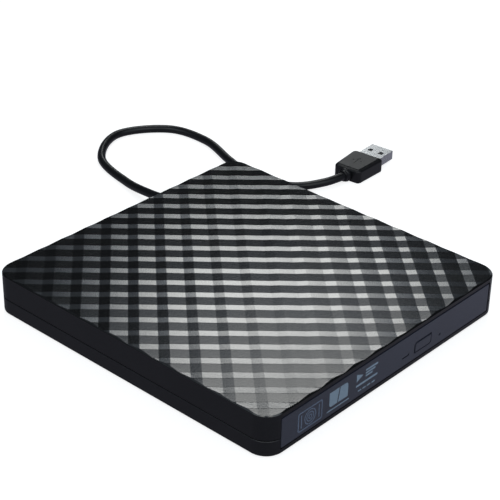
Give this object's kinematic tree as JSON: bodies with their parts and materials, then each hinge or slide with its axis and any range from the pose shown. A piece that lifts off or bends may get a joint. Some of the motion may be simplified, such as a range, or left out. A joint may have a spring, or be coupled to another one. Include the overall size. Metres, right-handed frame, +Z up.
{
  "type": "external optical drive",
  "caption": "Flat square disc drive with a waffle-relief lid, a front tray with button and indicator, and a looped cable ending in a rectangular plug.",
  "frame": {"origin": "centre of the flat underside of the bottom cover; the rubber feet stand 0.8 mm below it", "axes": "+Z up, -Y towards the front, where the tray comes out, +X to the right seen from the front"},
  "size_m": [0.222, 0.2323, 0.019],
  "materials": {
    "case_plastic": "satin black moulded plastic, waffle relief on top",
    "bezel_plastic": "smooth dark blue-grey plastic",
    "tray_plastic": "fine-grained black plastic",
    "cable_jacket": "soft satin black jacket",
    "nylon": "natural white",
    "rubber": "matte black",
    "steel": "bright steel",
    "zinc_sheet": "zinc-plated sheet",
    "cast_zinc": "die-cast grey",
    "brass": "satin",
    "board_green": "solder mask over glass laminate",
    "chip_black": "moulded black",
    "lamp_plastic": "smoked light pipe",
    "lens_glass": "coated lens",
    "ribbon_film": "flat flexible cable"
  },
  "bodies": {
    "enclosure": {"top_cover": "case_plastic", "bottom_cover": "case_plastic", "foot_front_left": "rubber", "foot_front_right": "rubber", "foot_rear_left": "rubber", "foot_rear_right": "rubber", "cover_screw_1": "steel", "cover_screw_2": "steel", "cover_screw_3": "steel", "cover_screw_4": "steel", "drive_housing_base": "zinc_sheet", "drive_housing_lid": "zinc_sheet", "rail_guide_left": "nylon", "rail_guide_right": "nylon", "main_board": "board_green", "controller_chip": "chip_black", "tray_ribbon": "ribbon_film", "drive_connector": "chip_black", "latch_post": "steel", "bridge_board": "board_green", "bridge_socket": "chip_black", "usb_cable": "cable_jacket", "cable_grommet": "rubber", "usb_plug_body": "cable_jacket", "usb_plug_shell": "steel", "usb_plug_tongue": "chip_black"},
    "slide_rails": {"slide_rail_left": "steel", "slide_rail_right": "steel"},
    "tray": {"tray_body": "tray_plastic", "front_bezel": "bezel_plastic", "indicator_lens": "lamp_plastic", "eject_switch": "chip_black", "tray_under_cover": "zinc_sheet", "eject_pusher": "nylon", "eject_spring": "steel", "latch_solenoid": "brass", "traverse_chassis": "steel", "damper_1": "rubber", "damper_2": "rubber", "damper_3": "rubber", "pickup_cover": "zinc_sheet", "guide_rod_left": "steel", "guide_rod_right": "steel", "sled_motor": "zinc_sheet", "spindle_stator": "zinc_sheet"},
    "eject_button": {"eject_button": "bezel_plastic"},
    "latch_lever": {"latch_lever": "nylon"},
    "solenoid_plunger": {"solenoid_plunger": "steel"},
    "spindle": {"spindle_rotor": "zinc_sheet", "turntable": "tray_plastic", "turntable_ring": "rubber", "clamp_claw_1": "nylon", "clamp_claw_2": "nylon", "clamp_claw_3": "nylon"},
    "pickup_sled": {"pickup_sled": "cast_zinc", "sled_nut": "nylon"},
    "lens_actuator": {"lens_holder": "chip_black", "objective_lens": "lens_glass"},
    "lead_screw": {"lead_screw": "steel"}
  },
  "joints": [
    {"name": "tray_slide", "type": "slide", "parent": "enclosure", "child": "tray", "axis": [0, -1, 0], "range_m": [0, 0.128], "deforming": ["tray_ribbon"]},
    {"name": "rails_slide", "type": "slide", "parent": "enclosure", "child": "slide_rails", "axis": [0, -1, 0], "range_m": [0, 0.064]},
    {"name": "button_press", "type": "slide", "parent": "tray", "child": "eject_button", "axis": [0, 1, 0], "range_m": [0, 0.0008]},
    {"name": "spindle_spin", "type": "hinge", "parent": "tray", "child": "spindle", "pos_m": [0, -0.0085, 0.01], "axis": [0, 0, 1], "continuous": true},
    {"name": "sled_slide", "type": "slide", "parent": "tray", "child": "pickup_sled", "axis": [-0.7071, -0.7071, 0], "range_m": [0, 0.0345]},
    {"name": "screw_turn", "type": "hinge", "parent": "tray", "child": "lead_screw", "pos_m": [-0.0152, 0.0067, 0.0074], "axis": [-0.7071, -0.7071, 0], "range_deg": [0, 4145]},
    {"name": "lens_focus", "type": "slide", "parent": "pickup_sled", "child": "lens_actuator", "axis": [0, 0, 1], "range_m": [-0.0004, 0.0004]},
    {"name": "latch_swing", "type": "hinge", "parent": "tray", "child": "latch_lever", "pos_m": [0.043, -0.066, 0.0062], "axis": [0, 0, 1], "range_deg": [0, 17]},
    {"name": "plunger_slide", "type": "slide", "parent": "tray", "child": "solenoid_plunger", "axis": [-1, 0, 0], "range_m": [0, 0.0033]}
  ],
  "couplings": [
    {"joint": "rails_slide", "follows": "tray_slide", "ratio": 0.5},
    {"joint": "screw_turn", "follows": "sled_slide", "rad_per_m": 2094.4},
    {"joint": "latch_swing", "follows": "plunger_slide", "rad_per_m": 89.286}
  ]
}
